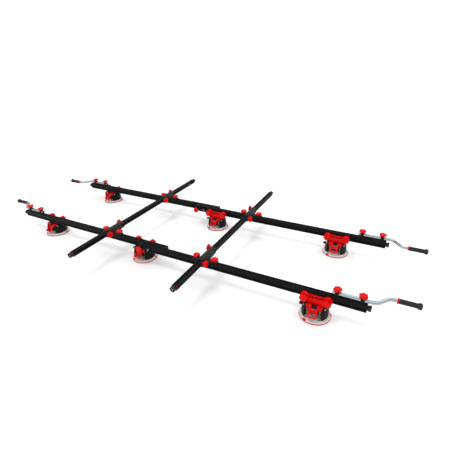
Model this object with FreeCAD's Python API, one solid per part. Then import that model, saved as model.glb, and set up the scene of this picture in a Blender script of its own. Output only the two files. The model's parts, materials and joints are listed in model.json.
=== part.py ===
"""Carrying frame for large thin slabs, with telescopic rails, cross bars, lever suction cups and handles.

Frame: millimetres, +X along the rails, +Y across them (away from the operator's side), +Z up.
The origin is the middle of the frame's footprint, on the slab that the cup rims stand on.
"""
import FreeCAD, Part
import math
import os

Vec = FreeCAD.Vector
os.makedirs("parts", exist_ok=True)

# ---- driving dimensions (mm) ----
GAP = 0.3                 # clearance between pieces that slide on each other
FIT = 0.06                # radial running clearance of pins and shafts

# telescopic rails: an upright octagonal extrusion with a T-slot in each of its four main faces
RAIL_LENGTH = 1290.0
RAIL_HALF_WIDTH = 14.0
RAIL_HALF_HEIGHT = 23.0
RAIL_CHAMFER = 4.5
RAIL_Z = 113.0            # height of the rail axes above the slab
SIDE_SLOT_DROP = 7.0      # the rails' side slots lie below the rail axis
RAIL_PITCH = 28.6         # distance between the two halves of one rail
RIGHT_HALF_Y = {"front": -345.0, "back": 273.0}
RIGHT_HALF_START = {"front": -96.5, "back": -77.5}
LEFT_HALF_START = {"front": -1232.5, "back": -1213.5}
INWARD = {"front": 1.0, "back": -1.0}

# cross bars: a square octagonal extrusion of the same system
BAR_HALF_WIDTH = 15.0
BAR_CHAMFER = 4.0
BAR_HALF_LENGTH = 638.0
BAR_X = {"left": -367.0, "right": 347.0}
SADDLE_FLOOR = 3.1        # thickness of the saddle under the bar

# T-slots shared by both extrusions
SLOT_HALF_OPENING = 4.1
SLOT_LIP = 2.2
SLOT_HALF_WIDTH = 7.0
SLOT_FLOOR_HALF_WIDTH = 6.5
SLOT_DEPTH = 7.6
CORE_BORE_RADIUS = 3.4

# star knobs with an M8 stud
KNOB_RADIUS = 21.0
KNOB_HEIGHT = 11.0
KNOB_HUB_HEIGHT = 8.0
SIDE_KNOB_HUB_HEIGHT = 14.0
STRAP_KNOB_HUB_HEIGHT = 4.0
KNOB_LOBES = 6
LOBE_SHARE = 0.36         # lobe radius as a share of the knob's
STUD_RADIUS = 3.7
STUD_HOLE_RADIUS = 4.1
T_HEAD_RADIUS = 6.3
T_HEAD_HEIGHT = 4.0
T_HEAD_INSET = 2.6        # from the face of an extrusion to the outer side of the T-head

# saddles that clamp a cross bar on a rail
SADDLE_OFFSET = 18.0      # saddle centre, inward from the axis of the rail half it stands on
SADDLE_PLATE_HALF_LENGTH = 71.0
SADDLE_PLATE_HALF_WIDTH = 14.5
SADDLE_POINT_HALF_WIDTH = 8.0
SADDLE_POINT_LENGTH = 14.0
SADDLE_CHEEK_HALF_LENGTH = 92.0
SADDLE_SHORT_CHEEK = 45.0 # the cheek without a knob, from the saddle centre
SADDLE_SHOULDER = 9.0     # height of the slope between a cheek and the cover plate
SADDLE_HALF_WIDTH = 17.8
SADDLE_FLANGE_X = 57.5    # rail knobs, each side of the bar
SADDLE_FLANGE_HALF_LENGTH = 74.0
SADDLE_FLANGE_HALF_WIDTH = 14.0
SADDLE_FLANGE_HEIGHT = 6.0
SADDLE_SIDE_KNOB_Y = 78.0 # bar knobs, each way from the saddle centre

# cranked handles
TUBE_RADIUS = 9.0
TUBE_BORE_RADIUS = 7.5
TUBE_Z = 150.0
TUBE_INNER_END = -157.0   # along the rail, measured outward from the rail end
CRANK_START = 38.0
CRANK_END = 86.0
CRANK_OFFSET = 60.0
CRANK_BEND_RADIUS = 38.0
TUBE_OUTER_END = 208.0
GRIP_START = 116.0
GRIP_END = 216.0
GRIP_RADIUS = 12.5
GRIP_BULGE_RADIUS = 15.5
GRIP_COLLAR_RADIUS = 14.0
STRAP_AT = (-135.0, -22.0)
STRAP_HALF_LENGTH = 9.0
STRAP_HALF_WIDTH = 12.0
STRAP_TOP_HALF_WIDTH = 7.0
STRAP_TOP_Z = 163.5
HANDLE_PUSH_IN = {"left": 29.0, "right": 0.0}

# suction cups
CUPS = {
    "front_right": ("right", "front", 970.0),
    "back_right": ("right", "back", 937.0),
    "back_middle": ("right", "back", 82.0),
    "front_middle": ("left", "front", -140.0),
    "front_left": ("left", "front", -962.0),
    "back_left": ("left", "back", -1007.0),
}
CUP_OFFSET = 16.0         # cup centre, outward from the axis of its rail half
DISC_RADIUS = 78.0
DISC_TOP_Z = 14.0
DISC_EDGE_Z = 10.0
SEAL_HEIGHT = 3.5
SEAL_INNER_RADIUS = 66.0
BODY_RADIUS = 65.0
BODY_BASE_Z = 26.0
SHOULDER_Z = 46.0         # above it the ears taper
EAR_TOP_RADIUS = 57.0
EAR_TOP_Z = 79.0
CHANNEL_HALF_WIDTH = 41.0
CHANNEL_STEP_Y = -14.0    # on the operator's side of it the channel reaches the disc
POST_HALF_X = 15.0
POST_Y = (-12.0, 10.0)
POST_TOP_Z = 58.0
PIN_Y = -30.0             # lever pin, from the cup centre towards the operator
PIN_Z = 71.0
PIN_RADIUS = 4.0
PIN_HALF_LENGTH = 49.0
HINGE_HALF_SIZE = 8.0
LEVER_HALF_WIDTH = 22.0
LEVER_LENGTH = 58.0
LEVER_THICKNESS = 9.0
LEVER_RIM = 7.0
LEVER_WEB_THICKNESS = 3.0
LEVER_WEB_REACH = 34.0    # the recess with its web ends here and the window begins
LEVER_SLOPE_DEG = 36.0    # below level when pressed home
STUB_RADIUS = 8.0
STUB_REACH = 77.0
STUB_Y = -10.0
STUB_Z = 57.0
BRACKET_THICKNESS = 20.0
BRACKET_KNOB_X = 56.0
BRACKET_LOBE_RADIUS = 21.0
BRACKET_WAIST_TOP = 11.0  # from the side slot
BRACKET_WAIST_BOTTOM = -24.0
BRACKET_POCKET = (37.0, -10.0, 7.5)    # hollow behind the truss: half length, bottom and top from the slot
BRACKET_POCKET_DEPTH = 4.5
BRACKET_RECESS_DEPTH = 12.0            # of the waist, from the front of the lobes
BRACKET_RECESS_HALF_LENGTH = 40.0
BRACKET_RECESS_Z = (-20.0, -9.0)       # bottom and top of the slope below the recess, from the slot
NECK_HALF_WIDTH = 40.0
NECK_BOTTOM_Z = 68.0
LEG_INNER_X = 20.0
TRUSS_WINDOWS = ((-31.0, 4.5), (-17.8, 8.7), (0.0, 8.7), (17.8, 8.7), (31.0, 4.5))    # centre, half base
TRUSS_LOW = -6.0          # from the side slot
TRUSS_HIGH = 5.5

# end pieces and telescope clamps
PLATE_THICKNESS = 3.0
BUMPER_RADIUS = 15.0
BUMPER_LENGTH = 18.0
CLAMP_BLOCK_LENGTH = 24.0
CLAMP_PLATE_REACH = 64.0
CLAMP_PLATE_THICKNESS = 5.0
CLAMP_PLATE_HALF_HEIGHT = 14.0
CLAMP_KNOB_X = -10.0      # from the inner end of the right half
CLAMP_KNOB_RADIUS = 20.0

# worked out
RAIL_TOP_Z = RAIL_Z + RAIL_HALF_HEIGHT
SIDE_SLOT_Z = RAIL_Z - SIDE_SLOT_DROP
BAR_Z = RAIL_TOP_Z + GAP + SADDLE_FLOOR + GAP + BAR_HALF_WIDTH
BAR_TOP_Z = BAR_Z + BAR_HALF_WIDTH


# ---- small helpers ----
def half_y(side, row):
    """Y of the axis of one rail half."""
    return RIGHT_HALF_Y[row] + (RAIL_PITCH if side == "left" else 0.0)


def half_start(side, row):
    return LEFT_HALF_START[row] if side == "left" else RIGHT_HALF_START[row]


def box(x0, x1, y0, y1, z0, z1):
    return Part.makeBox(x1 - x0, y1 - y0, z1 - z0, Vec(x0, y0, z0))


def cylinder(radius, start, direction, length):
    return Part.makeCylinder(radius, length, Vec(*start), Vec(*direction))


def prism(points, direction):
    """Solid swept from a closed polygon along a vector."""
    corners = [Vec(*p) for p in points]
    face = Part.Face(Part.makePolygon(corners + corners[:1]))
    return face.extrude(Vec(*direction))


def save(name, *solids):
    """Writes one node: a single solid, or a group of identical fasteners."""
    shape = solids[0] if len(solids) == 1 else Part.makeCompound(list(solids))
    if not shape.isValid() or shape.Volume <= 0:
        raise ValueError("bad solid in " + name)
    shape.exportStep("parts/" + name + ".step")
    print(name, len(shape.Solids), round(shape.Volume))


# ---- extrusions ----
def octagon(half_width, half_height, chamfer):
    w, h, c = half_width, half_height, chamfer
    return [(w, h - c), (w - c, h), (c - w, h), (-w, h - c),
            (-w, c - h), (c - w, -h), (w - c, -h), (w, c - h)]


def t_slot(face_distance, turn_deg):
    """Outline pair of a T-slot cut into the face that looks along turn_deg."""
    lip = face_distance - SLOT_LIP
    floor = face_distance - SLOT_DEPTH
    outside = face_distance + 1.0
    o, w = SLOT_HALF_OPENING, SLOT_HALF_WIDTH
    f = SLOT_FLOOR_HALF_WIDTH
    outline = [(outside, -o), (outside, o), (lip, o), (lip, w),
               (floor, f), (floor, -f), (lip, -w), (lip, -o)]
    c, s = math.cos(math.radians(turn_deg)), math.sin(math.radians(turn_deg))
    return [(c * p - s * q, s * p + c * q) for p, q in outline]


def extrusion(half_width, half_height, chamfer, length, side_drop=0.0):
    """T-slot profile along +X from x = 0, section in (y, z), with its side slots side_drop below the axis."""
    solid = prism([(0, y, z) for y, z in octagon(half_width, half_height, chamfer)], (length, 0, 0))
    faces = ((0, half_width, side_drop), (90, half_height, 0), (180, half_width, side_drop),
             (270, half_height, 0))
    for turn, distance, drop in faces:
        slot = [(-1, y, z - drop) for y, z in t_slot(distance, turn)]
        solid = solid.cut(prism(slot, (length + 2, 0, 0)))
    return solid.cut(cylinder(CORE_BORE_RADIUS, (-1, 0, 0), (1, 0, 0), length + 2))


def rail_half(side, row):
    rail = extrusion(RAIL_HALF_WIDTH, RAIL_HALF_HEIGHT, RAIL_CHAMFER, RAIL_LENGTH, SIDE_SLOT_DROP)
    rail.translate(Vec(half_start(side, row), half_y(side, row), RAIL_Z))
    return rail


def cross_bar(side):
    bar = extrusion(BAR_HALF_WIDTH, BAR_HALF_WIDTH, BAR_CHAMFER, 2 * BAR_HALF_LENGTH)
    bar.rotate(Vec(0, 0, 0), Vec(0, 0, 1), 90)
    bar.translate(Vec(BAR_X[side], -BAR_HALF_LENGTH, BAR_Z))
    return bar


# ---- star knobs ----
def star_knob(seat, direction, stud_length, radius=KNOB_RADIUS, hub=KNOB_HUB_HEIGHT, t_head=True):
    """Knob whose hub stands on `seat` and looks along `direction`; the stud runs the other way."""
    lobe = LOBE_SHARE * radius
    star = cylinder(radius - 0.9 * lobe, (0, 0, hub), (0, 0, 1), KNOB_HEIGHT)
    for i in range(KNOB_LOBES):
        a = 2 * math.pi * i / KNOB_LOBES
        at = ((radius - lobe) * math.cos(a), (radius - lobe) * math.sin(a), hub)
        star = star.fuse(cylinder(lobe, at, (0, 0, 1), KNOB_HEIGHT))
    neck = Part.makeCone(0.42 * radius, 0.62 * radius, hub)
    knob = star.fuse(neck).fuse(cylinder(STUD_RADIUS, (0, 0, -stud_length), (0, 0, 1), stud_length + 1.0))
    if t_head:
        knob = knob.fuse(cylinder(T_HEAD_RADIUS, (0, 0, -stud_length), (0, 0, 1), T_HEAD_HEIGHT))
    knob = knob.removeSplitter()
    knob.Placement = FreeCAD.Placement(Vec(*seat), FreeCAD.Rotation(Vec(0, 0, 1), Vec(*direction)))
    return knob


# ---- saddles ----
def saddle(side, row):
    """Bridge over the cross bar: cover plate, two staggered cheeks, a floor and two flanges on the rail."""
    x, y = BAR_X[side], half_y(side, row) + INWARD[row] * SADDLE_OFFSET
    z0, top = RAIL_TOP_Z + GAP, BAR_TOP_Z + GAP
    w, long, reach = SADDLE_HALF_WIDTH, SADDLE_CHEEK_HALF_LENGTH, SADDLE_PLATE_HALF_LENGTH
    tip, narrow, cover = SADDLE_POINT_HALF_WIDTH, reach - SADDLE_POINT_LENGTH, SADDLE_PLATE_HALF_WIDTH
    section = [(x - w, y - long, z0), (x + w, y - long, z0), (x + w, y - long, top - SADDLE_SHOULDER),
               (x + cover, y - long, top), (x - cover, y - long, top),
               (x - w, y - long, top - SADDLE_SHOULDER)]
    body = prism(section, (0, 2 * long, 0))
    outline = [(x - cover, y - narrow, top), (x - tip, y - reach, top), (x + tip, y - reach, top),
               (x + cover, y - narrow, top), (x + cover, y + narrow, top), (x + tip, y + reach, top),
               (x - tip, y + reach, top), (x - cover, y + narrow, top)]
    body = body.fuse(prism(outline, (0, 0, PLATE_THICKNESS)))
    rail_y = half_y(side, row)
    half_length, half_width = SADDLE_FLANGE_HALF_LENGTH, SADDLE_FLANGE_HALF_WIDTH
    flange = box(x - half_length, x + half_length, rail_y - half_width, rail_y + half_width,
                 z0, z0 + SADDLE_FLANGE_HEIGHT)
    body = body.fuse(flange).removeSplitter()
    inside = BAR_HALF_WIDTH + GAP
    tunnel = [(x + a, y - long - 1, BAR_Z + b) for a, b in octagon(inside, inside, BAR_CHAMFER)]
    body = body.cut(prism(tunnel, (0, 2 * long + 2, 0)))
    for end in (-1, 1):
        # past the cover plate the bar shows: the bridge is open on top and its floor stops short
        y0, y1 = sorted((y + end * reach, y + end * (long + 1)))
        body = body.cut(box(x - inside, x + inside, y0, y1, z0 - 1, top + 1))
        # the cheek across from a side knob is short
        x0, x1 = sorted((x + end * inside, x + end * (w + 1)))
        y0, y1 = sorted((y + end * SADDLE_SHORT_CHEEK, y + end * (long + 1)))
        body = body.cut(box(x0, x1, y0, y1, z0 - 1, top - 1))
        hole_at = (x + end * SADDLE_FLANGE_X, rail_y, z0 - 1)
        body = body.cut(cylinder(STUD_HOLE_RADIUS, hole_at, (0, 0, 1), SADDLE_FLANGE_HEIGHT + 2))
        hole_y = y - end * SADDLE_SIDE_KNOB_Y
        body = body.cut(cylinder(STUD_HOLE_RADIUS, (x + end * 10, hole_y, BAR_Z), (end, 0, 0), w))
    return body


def saddle_knobs(side, row):
    x, y = BAR_X[side], half_y(side, row) + INWARD[row] * SADDLE_OFFSET
    rail_seat = RAIL_TOP_Z + GAP + SADDLE_FLANGE_HEIGHT
    rail_stud = rail_seat - RAIL_TOP_Z + T_HEAD_INSET + T_HEAD_HEIGHT
    bar_stud = SADDLE_HALF_WIDTH - BAR_HALF_WIDTH + T_HEAD_INSET + T_HEAD_HEIGHT
    knobs = []
    for end in (-1, 1):
        rail_at = (x + end * SADDLE_FLANGE_X, half_y(side, row), rail_seat)
        knobs.append(star_knob(rail_at, (0, 0, 1), rail_stud))
        seat = (x + end * SADDLE_HALF_WIDTH, y - end * SADDLE_SIDE_KNOB_Y, BAR_Z)
        knobs.append(star_knob(seat, (end, 0, 0), bar_stud, hub=SIDE_KNOB_HUB_HEIGHT))
    return knobs


# ---- end pieces ----
def end_plate(half_width, half_height, chamfer, side_drop=0.0):
    """Thin plate with the section of an extrusion, notched at its slots, from x = 0 to its thickness."""
    plate = prism([(0, y, z) for y, z in octagon(half_width, half_height, chamfer)], (PLATE_THICKNESS, 0, 0))
    notch, depth = SLOT_HALF_OPENING, SLOT_LIP
    for sign in (-1, 1):
        y0, y1 = sorted((sign * (half_width - depth), sign * (half_width + 1)))
        plate = plate.cut(box(-1, PLATE_THICKNESS + 1, y0, y1, -side_drop - notch, notch - side_drop))
        z0, z1 = sorted((sign * (half_height - depth), sign * (half_height + 1)))
        plate = plate.cut(box(-1, PLATE_THICKNESS + 1, -notch, notch, z0, z1))
    return plate


def bumper_stop(plate):
    """An end plate with a round rubber bumper, pointing along +X."""
    bumper = cylinder(BUMPER_RADIUS, (PLATE_THICKNESS - 1, 0, 0), (1, 0, 0), BUMPER_LENGTH + 1)
    return plate.fuse(bumper).removeSplitter()


def placed_end(solid, turn_deg, x, y, z):
    piece = solid.copy()
    piece.rotate(Vec(0, 0, 0), Vec(0, 0, 1), turn_deg)
    piece.translate(Vec(x, y, z))
    return piece


def rail_end(side, row):
    """X of the outer end of a rail half."""
    return LEFT_HALF_START[row] if side == "left" else RIGHT_HALF_START[row] + RAIL_LENGTH


def rail_plate():
    return end_plate(RAIL_HALF_WIDTH, RAIL_HALF_HEIGHT, RAIL_CHAMFER, SIDE_SLOT_DROP)


def rail_bumpers(side):
    stop = bumper_stop(rail_plate())
    turn = 180 if side == "left" else 0
    return [placed_end(stop, turn, rail_end(side, row), half_y(side, row), RAIL_Z) for row in INWARD]


def inner_rail_plates():
    plate = rail_plate()
    inner_end = {row: LEFT_HALF_START[row] + RAIL_LENGTH for row in INWARD}
    return [placed_end(plate, 0, inner_end[row], half_y("left", row), RAIL_Z) for row in INWARD]


def bar_stops(side):
    stop = bumper_stop(end_plate(BAR_HALF_WIDTH, BAR_HALF_WIDTH, BAR_CHAMFER))
    return [placed_end(stop, 90 * end, BAR_X[side], end * BAR_HALF_LENGTH, BAR_Z) for end in (-1, 1)]


# ---- telescope clamps at the inner ends of the right halves ----
def telescope_clamp(row):
    x, y = RIGHT_HALF_START[row], half_y("right", row)
    w, h, c = RAIL_HALF_WIDTH, RAIL_HALF_HEIGHT - 1.0, RAIL_CHAMFER
    block = prism([(x, y + a, RAIL_Z + b) for a, b in octagon(w, h, c)], (-CLAMP_BLOCK_LENGTH, 0, 0))
    face = y - w
    plate = box(x - CLAMP_BLOCK_LENGTH, x + CLAMP_PLATE_REACH, face - CLAMP_PLATE_THICKNESS, face,
                RAIL_Z - CLAMP_PLATE_HALF_HEIGHT, RAIL_Z + CLAMP_PLATE_HALF_HEIGHT)
    clamp = block.fuse(plate).removeSplitter()
    bore = (x + CLAMP_KNOB_X, face - CLAMP_PLATE_THICKNESS - 1, SIDE_SLOT_Z)
    return clamp.cut(cylinder(STUD_RADIUS + FIT, bore, (0, 1, 0), 2 * w + CLAMP_PLATE_THICKNESS + 2))


def telescope_knob(row):
    seat_y = half_y("right", row) - RAIL_HALF_WIDTH - CLAMP_PLATE_THICKNESS - GAP
    far_face = half_y("left", row) - RAIL_HALF_WIDTH
    stud = far_face - seat_y + T_HEAD_INSET + T_HEAD_HEIGHT
    seat = (RIGHT_HALF_START[row] + CLAMP_KNOB_X, seat_y, SIDE_SLOT_Z)
    return star_knob(seat, (0, -1, 0), stud, CLAMP_KNOB_RADIUS)


# ---- handles ----
def handle_place(shape, side, row):
    """Moves a handle piece from its own frame (u outward from the rail end, v inward) to its rail."""
    if side == "left":
        shape.rotate(Vec(0, 0, 0), Vec(0, 0, 1), 180)
    mirrored = (side == "right") == (row == "back")
    if mirrored:
        shape = shape.mirror(Vec(0, 0, 0), Vec(0, 1, 0))
    outward = -1.0 if side == "left" else 1.0
    x = rail_end(side, row) - outward * HANDLE_PUSH_IN[side]
    shape.translate(Vec(x, half_y(side, row), TUBE_Z))
    return shape


def crank_path():
    """Centre line of the tube: straight, an S of two equal bends, straight."""
    slope = math.atan2(CRANK_OFFSET, CRANK_END - CRANK_START)
    cut_back = CRANK_BEND_RADIUS * math.tan(slope / 2)
    along = Vec(math.cos(slope), math.sin(slope), 0)
    first, second = Vec(CRANK_START, 0, 0), Vec(CRANK_END, CRANK_OFFSET, 0)
    a, b = first - Vec(cut_back, 0, 0), first + along * cut_back
    c, d = second - along * cut_back, second + Vec(cut_back, 0, 0)
    mid_reach = CRANK_BEND_RADIUS / math.cos(slope / 2) - CRANK_BEND_RADIUS
    bisector = Vec(-math.sin(slope / 2), math.cos(slope / 2), 0)
    edges = [Part.makeLine(Vec(TUBE_INNER_END, 0, 0), a),
             Part.Arc(a, first + bisector * mid_reach, b).toShape(),
             Part.makeLine(b, c),
             Part.Arc(c, second - bisector * mid_reach, d).toShape(),
             Part.makeLine(d, Vec(TUBE_OUTER_END, CRANK_OFFSET, 0))]
    return Part.Wire(edges)


def handle_tube(side, row):
    path = crank_path()
    solids = []
    for radius in (TUBE_RADIUS, TUBE_BORE_RADIUS):
        ring = Part.Wire(Part.makeCircle(radius, Vec(TUBE_INNER_END, 0, 0), Vec(1, 0, 0)))
        solids.append(path.makePipeShell([ring], True, True))
    return handle_place(solids[0].cut(solids[1]), side, row)


def handle_grip(side, row):
    r, bulge, collar = GRIP_RADIUS, GRIP_BULGE_RADIUS, GRIP_COLLAR_RADIUS
    outline = [(GRIP_START, TUBE_RADIUS), (GRIP_START, collar), (GRIP_START + 5, collar), (GRIP_START + 6, r),
               (GRIP_END - 20, r), (GRIP_END - 14, bulge), (GRIP_END - 4, bulge), (GRIP_END, bulge - 4),
               (GRIP_END, 0), (TUBE_OUTER_END, 0), (TUBE_OUTER_END, TUBE_RADIUS)]
    corners = [Vec(u, v, 0) for u, v in outline]
    grip = Part.Face(Part.makePolygon(corners + corners[:1])).revolve(Vec(0, 0, 0), Vec(1, 0, 0), 360)
    grip.translate(Vec(0, CRANK_OFFSET, 0))
    return handle_place(Part.Solid(grip.Shells[0]), side, row)


def handle_strap(at):
    """Clamp that stands on the rail and holds the tube; the rail end frame has z = 0 on the tube axis."""
    foot = RAIL_TOP_Z - TUBE_Z
    top = STRAP_TOP_Z - TUBE_Z
    l, w, t = STRAP_HALF_LENGTH, STRAP_HALF_WIDTH, STRAP_TOP_HALF_WIDTH
    outline = [(at - l, -w, foot), (at - l, w, foot), (at - l, w, 2), (at - l, t, top),
               (at - l, -t, top), (at - l, -w, 2)]
    strap = prism(outline, (2 * l, 0, 0))
    strap = strap.cut(cylinder(TUBE_RADIUS + FIT, (at - l - 1, 0, 0), (1, 0, 0), 2 * l + 2))
    return strap.cut(cylinder(STUD_HOLE_RADIUS, (at, 0, 0), (0, 0, 1), 20))


def straps(side):
    return [handle_place(handle_strap(at), side, row) for row in INWARD for at in STRAP_AT]


def strap_knobs(side):
    seat = STRAP_TOP_Z - TUBE_Z
    stud = seat - TUBE_RADIUS - GAP
    places = [(at, 0, seat) for at in STRAP_AT]
    return [handle_place(star_knob(place, (0, 0, 1), stud, hub=STRAP_KNOB_HUB_HEIGHT, t_head=False), side, row)
            for row in INWARD for place in places]


# ---- suction cups ----
def cup_centre(name):
    """Centre of a cup and the side (-1 near, +1 far) of its rail that carries the bracket."""
    side, row, x = CUPS[name]
    outward = -1.0 if side == "right" else 1.0
    return x, half_y(side, row) + outward * CUP_OFFSET, outward


def cup_disc():
    """Stiff backing disc with its moulded-on sealing ring and a shallow vacuum space inside the ring."""
    outline = [(0, SEAL_HEIGHT), (SEAL_INNER_RADIUS - 3, SEAL_HEIGHT), (SEAL_INNER_RADIUS, 0),
               (DISC_RADIUS - 1, 0), (DISC_RADIUS, 1.5), (DISC_RADIUS, DISC_EDGE_Z),
               (DISC_RADIUS - 5, DISC_TOP_Z), (0, DISC_TOP_Z)]
    corners = [Vec(r, 0, z) for r, z in outline]
    disc = Part.Face(Part.makePolygon(corners + corners[:1])).revolve(Vec(0, 0, 0), Vec(0, 0, 1), 360)
    return Part.Solid(disc.Shells[0])


def cup_body():
    """Round base, two ears that carry the lever pin, the centre post and the side stub."""
    drum = cylinder(BODY_RADIUS, (0, 0, DISC_TOP_Z), (0, 0, 1), SHOULDER_Z - DISC_TOP_Z)
    taper = Part.makeCone(BODY_RADIUS, EAR_TOP_RADIUS, EAR_TOP_Z - SHOULDER_Z, Vec(0, 0, SHOULDER_Z))
    w, reach = CHANNEL_HALF_WIDTH, BODY_RADIUS + 1
    body = drum.fuse(taper).cut(box(-w, w, -reach, reach, BODY_BASE_Z, EAR_TOP_Z + 1))
    body = body.cut(box(-w, w, -reach, CHANNEL_STEP_Y, DISC_TOP_Z - 1, EAR_TOP_Z))
    post = box(-POST_HALF_X, POST_HALF_X, *POST_Y, DISC_TOP_Z, POST_TOP_Z)
    stub = cylinder(STUB_RADIUS, (-STUB_REACH, STUB_Y, STUB_Z), (1, 0, 0), STUB_REACH - w)
    body = body.fuse(post).fuse(stub).removeSplitter()
    pin = cylinder(PIN_RADIUS + FIT, (-BODY_RADIUS, PIN_Y, PIN_Z), (1, 0, 0), 2 * BODY_RADIUS)
    return body.cut(pin)


def cup_lever():
    """Square hinge bar with its pin ends, and a sloping arm with a recess and a window."""
    w, h, t = CHANNEL_HALF_WIDTH - 1.0, HINGE_HALF_SIZE, LEVER_THICKNESS / 2
    hinge = box(-w, w, -h, h, -h, h)
    pin = cylinder(PIN_RADIUS, (-PIN_HALF_LENGTH, 0, 0), (1, 0, 0), 2 * PIN_HALF_LENGTH)
    inner = LEVER_HALF_WIDTH - LEVER_RIM
    arm = box(-LEVER_HALF_WIDTH, LEVER_HALF_WIDTH, -LEVER_LENGTH, 0, -t, t)
    window = box(-inner, inner, LEVER_RIM - LEVER_LENGTH, -LEVER_WEB_REACH, -t - 1, t + 1)
    recess = box(-inner, inner, -LEVER_WEB_REACH - 1, -h - 4, LEVER_WEB_THICKNESS - t, t + 1)
    arm = arm.cut(window).cut(recess)
    arm.rotate(Vec(0, 0, 0), Vec(1, 0, 0), LEVER_SLOPE_DEG)
    lever = hinge.fuse(pin).fuse(arm).removeSplitter()
    lever.translate(Vec(0, PIN_Y, PIN_Z))
    return lever


def truss_cuts(y0, depth):
    """Triangular windows of the bracket's truss, side by side, every other one upside down."""
    cuts = []
    for i, (x, half_base) in enumerate(TRUSS_WINDOWS):
        base, tip = (TRUSS_LOW, TRUSS_HIGH) if i % 2 else (TRUSS_HIGH, TRUSS_LOW)
        points = [(x - half_base, y0, SIDE_SLOT_Z + base), (x + half_base, y0, SIDE_SLOT_Z + base),
                  (x, y0, SIDE_SLOT_Z + tip)]
        cuts.append(prism(points, (0, depth, 0)))
    return cuts


def waist_recess(front, outward):
    """Wedge-ended space in front of the bracket's waist, between the lobes."""
    low, high = (SIDE_SLOT_Z + z for z in BRACKET_RECESS_Z)
    top = SIDE_SLOT_Z + BRACKET_LOBE_RADIUS
    back = front - outward * BRACKET_RECESS_DEPTH
    reach = BRACKET_RECESS_HALF_LENGTH
    section = [(-reach, front, low), (-reach, back, high), (-reach, back, top), (-reach, front, top)]
    return prism(section, (2 * reach, 0, 0))


def cup_bracket(outward):
    """Bone-shaped plate bolted to the rail's side; its neck ends in two legs that stand in the channel."""
    rail_face = outward * (RAIL_HALF_WIDTH - CUP_OFFSET + GAP)
    y0, y1 = sorted((rail_face, rail_face + outward * BRACKET_THICKNESS))
    depth = y1 - y0
    knob_x, neck = BRACKET_KNOB_X, NECK_HALF_WIDTH
    waist_bottom = SIDE_SLOT_Z + BRACKET_WAIST_BOTTOM
    bracket = box(-knob_x, knob_x, y0, y1, SIDE_SLOT_Z - BRACKET_WAIST_TOP, SIDE_SLOT_Z + BRACKET_WAIST_TOP)
    for x in (-knob_x, knob_x):
        bracket = bracket.fuse(cylinder(BRACKET_LOBE_RADIUS, (x, y0, SIDE_SLOT_Z), (0, 1, 0), depth))
    apron = [(-knob_x, y0, SIDE_SLOT_Z), (knob_x, y0, SIDE_SLOT_Z), (neck, y0, waist_bottom),
             (neck, y0, NECK_BOTTOM_Z), (-neck, y0, NECK_BOTTOM_Z), (-neck, y0, waist_bottom)]
    bracket = bracket.fuse(prism(apron, (0, depth, 0)))
    for side in (-1, 1):
        x0, x1 = sorted((side * LEG_INNER_X, side * neck))
        leg = box(x0, x1, max(y0, POST_Y[0]), y1, BODY_BASE_Z, NECK_BOTTOM_Z)
        bracket = bracket.fuse(leg)
    bracket = bracket.removeSplitter().cut(waist_recess(rail_face + outward * depth, outward))
    for cut in truss_cuts(y0, depth):
        bracket = bracket.cut(cut)
    reach, low, high = BRACKET_POCKET
    p0, p1 = sorted((rail_face, rail_face + outward * BRACKET_POCKET_DEPTH))
    bracket = bracket.cut(box(-reach, reach, p0, p1, SIDE_SLOT_Z + low, SIDE_SLOT_Z + high))
    for x in (-knob_x, knob_x):
        hole = cylinder(STUD_HOLE_RADIUS, (x, y0 - 1, SIDE_SLOT_Z), (0, 1, 0), depth + 2)
        bracket = bracket.cut(hole)
    return bracket


def cup_knobs(outward):
    seat_y = outward * (RAIL_HALF_WIDTH - CUP_OFFSET + GAP + BRACKET_THICKNESS)
    stud = BRACKET_THICKNESS + GAP + T_HEAD_INSET + T_HEAD_HEIGHT
    return [star_knob((end * BRACKET_KNOB_X, seat_y, SIDE_SLOT_Z), (0, outward, 0), stud) for end in (-1, 1)]


def save_cup(name):
    x, y, outward = cup_centre(name)
    place = Vec(x, y, 0)
    pieces = {"disc": [cup_disc()], "body": [cup_body()], "lever": [cup_lever()],
              "bracket": [cup_bracket(outward)], "knobs": cup_knobs(outward)}
    for piece, solids in pieces.items():
        for solid in solids:
            solid.translate(place)
        save("cup_" + name + "_" + piece, *solids)


# ---- nodes ----
def main():
    for side in ("left", "right"):
        for row in INWARD:
            save("rail_" + row + "_" + side, rail_half(side, row))
            save("handle_tube_" + row + "_" + side, handle_tube(side, row))
            save("handle_grip_" + row + "_" + side, handle_grip(side, row))
        save("cross_bar_" + side, cross_bar(side))
        save("bar_stops_" + side, *bar_stops(side))
        save("saddles_" + side, *[saddle(side, row) for row in INWARD])
        save("saddle_knobs_" + side, *[knob for row in INWARD for knob in saddle_knobs(side, row)])
        save("handle_straps_" + side, *straps(side))
        save("strap_knobs_" + side, *strap_knobs(side))
        save("rail_bumpers_" + side, *rail_bumpers(side))
    save("rail_end_plates", *inner_rail_plates())
    save("telescope_clamps", *[telescope_clamp(row) for row in INWARD])
    for row in INWARD:
        save("telescope_knob_" + row, telescope_knob(row))
    for name in CUPS:
        save_cup(name)


main()
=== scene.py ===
"""Looks of a telescopic slab carrying frame with cranked handles and lever suction cups.

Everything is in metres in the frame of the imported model: +X along the rails, +Y across them, +Z up.
"""
import json
import math

import bmesh
import bpy
from bpy.props import FloatProperty, FloatVectorProperty, IntProperty, PointerProperty
from mathutils import Matrix, Vector


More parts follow.
